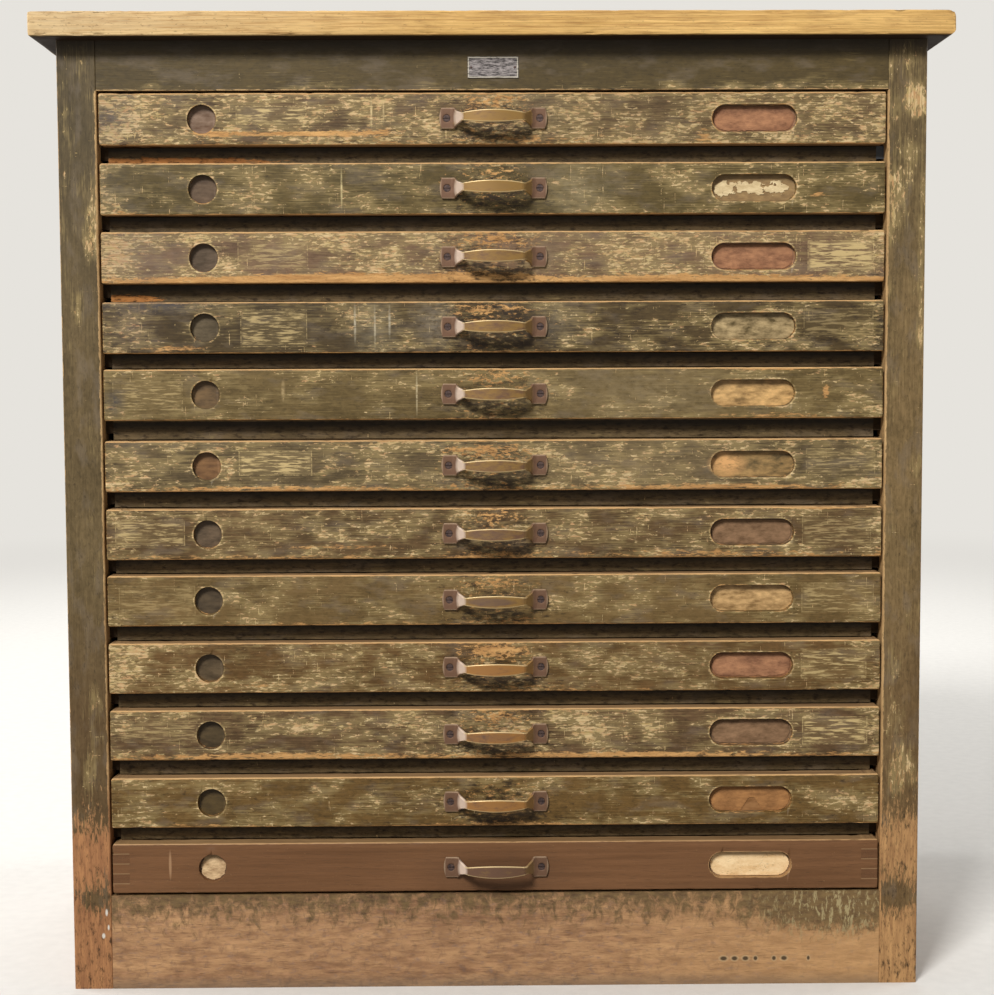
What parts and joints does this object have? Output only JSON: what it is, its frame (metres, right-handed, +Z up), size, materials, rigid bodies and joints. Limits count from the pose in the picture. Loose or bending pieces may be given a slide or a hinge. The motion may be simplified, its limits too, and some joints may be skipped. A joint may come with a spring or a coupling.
{
  "type": "chest of drawers",
  "caption": "Workshop cabinet of shallow sliding drawers in worn olive paint, with a raw pine worktop, bowed brass pulls and finger-jointed drawer corners.",
  "frame": {"origin": "middle of the footprint's bounding box, on the floor", "axes": "+X to the right as seen from the front, +Y towards the back, +Z up; the drawer fronts face -Y"},
  "size_m": [1.052, 0.638, 1.1365],
  "materials": {
    "raw_pine": "raw planed pine, worn and matt",
    "green_paint": "old olive oil paint on beech, worn through to tan wood",
    "worn_plinth": "brown worn wood with remnants of olive paint",
    "inside_paint": "dark olive paint, dusty",
    "runner_wood": "dark waxed beech runner strip",
    "bare_wood": "bare aged softwood",
    "box_wood": "bare aged beech, oiled by hands",
    "stained_wood": "red-brown stained wood, satin",
    "worn_brass": "worn dull brass, brown in the hollows",
    "screw_metal": "dark tarnished brass",
    "black_plate": "thin plate, black field with a bare metal rim"
  },
  "bodies": {
    "cabinet": {"worktop": "raw_pine", "front_stiles": "green_paint", "rear_posts": "green_paint", "frame_rails": "green_paint", "side_panels": "green_paint", "back_panels": "bare_wood", "top_rail": "green_paint", "plinth_rail": "worn_plinth", "cross_rails": "inside_paint", "runners": "runner_wood", "nameplate": "black_plate", "nameplate_pins": "worn_brass"},
    "drawer_01": {"drawer_01_front": "green_paint", "drawer_01_box": "box_wood", "drawer_01_pull": "worn_brass", "drawer_01_screws": "screw_metal"},
    "drawer_02": {"drawer_02_front": "green_paint", "drawer_02_box": "box_wood", "drawer_02_pull": "worn_brass", "drawer_02_screws": "screw_metal"},
    "drawer_03": {"drawer_03_front": "green_paint", "drawer_03_box": "box_wood", "drawer_03_pull": "worn_brass", "drawer_03_screws": "screw_metal"},
    "drawer_04": {"drawer_04_front": "green_paint", "drawer_04_box": "box_wood", "drawer_04_pull": "worn_brass", "drawer_04_screws": "screw_metal"},
    "drawer_05": {"drawer_05_front": "green_paint", "drawer_05_box": "box_wood", "drawer_05_pull": "worn_brass", "drawer_05_screws": "screw_metal"},
    "drawer_06": {"drawer_06_front": "green_paint", "drawer_06_box": "box_wood", "drawer_06_pull": "worn_brass", "drawer_06_screws": "screw_metal"},
    "drawer_07": {"drawer_07_front": "green_paint", "drawer_07_box": "box_wood", "drawer_07_pull": "worn_brass", "drawer_07_screws": "screw_metal"},
    "drawer_08": {"drawer_08_front": "green_paint", "drawer_08_box": "box_wood", "drawer_08_pull": "worn_brass", "drawer_08_screws": "screw_metal"},
    "drawer_09": {"drawer_09_front": "green_paint", "drawer_09_box": "box_wood", "drawer_09_pull": "worn_brass", "drawer_09_screws": "screw_metal"},
    "drawer_10": {"drawer_10_front": "green_paint", "drawer_10_box": "box_wood", "drawer_10_pull": "worn_brass", "drawer_10_screws": "screw_metal"},
    "drawer_11": {"drawer_11_front": "green_paint", "drawer_11_box": "box_wood", "drawer_11_pull": "worn_brass", "drawer_11_screws": "screw_metal"},
    "drawer_12": {"drawer_12_front": "stained_wood", "drawer_12_box": "box_wood", "drawer_12_pull": "worn_brass", "drawer_12_screws": "screw_metal"}
  },
  "joints": [
    {"name": "drawer_01_slide", "type": "slide", "parent": "cabinet", "child": "drawer_01", "axis": [0, -1, 0], "range_m": [0, 0.45]},
    {"name": "drawer_02_slide", "type": "slide", "parent": "cabinet", "child": "drawer_02", "axis": [0, -1, 0], "range_m": [0, 0.45]},
    {"name": "drawer_03_slide", "type": "slide", "parent": "cabinet", "child": "drawer_03", "axis": [0, -1, 0], "range_m": [0, 0.45]},
    {"name": "drawer_04_slide", "type": "slide", "parent": "cabinet", "child": "drawer_04", "axis": [0, -1, 0], "range_m": [0, 0.45]},
    {"name": "drawer_05_slide", "type": "slide", "parent": "cabinet", "child": "drawer_05", "axis": [0, -1, 0], "range_m": [0, 0.45]},
    {"name": "drawer_06_slide", "type": "slide", "parent": "cabinet", "child": "drawer_06", "axis": [0, -1, 0], "range_m": [0, 0.45]},
    {"name": "drawer_07_slide", "type": "slide", "parent": "cabinet", "child": "drawer_07", "axis": [0, -1, 0], "range_m": [0, 0.45]},
    {"name": "drawer_08_slide", "type": "slide", "parent": "cabinet", "child": "drawer_08", "axis": [0, -1, 0], "range_m": [0, 0.45]},
    {"name": "drawer_09_slide", "type": "slide", "parent": "cabinet", "child": "drawer_09", "axis": [0, -1, 0], "range_m": [0, 0.45]},
    {"name": "drawer_10_slide", "type": "slide", "parent": "cabinet", "child": "drawer_10", "axis": [0, -1, 0], "range_m": [0, 0.45]},
    {"name": "drawer_11_slide", "type": "slide", "parent": "cabinet", "child": "drawer_11", "axis": [0, -1, 0], "range_m": [0, 0.45]},
    {"name": "drawer_12_slide", "type": "slide", "parent": "cabinet", "child": "drawer_12", "axis": [0, -1, 0], "range_m": [0, 0.45]}
  ]
}
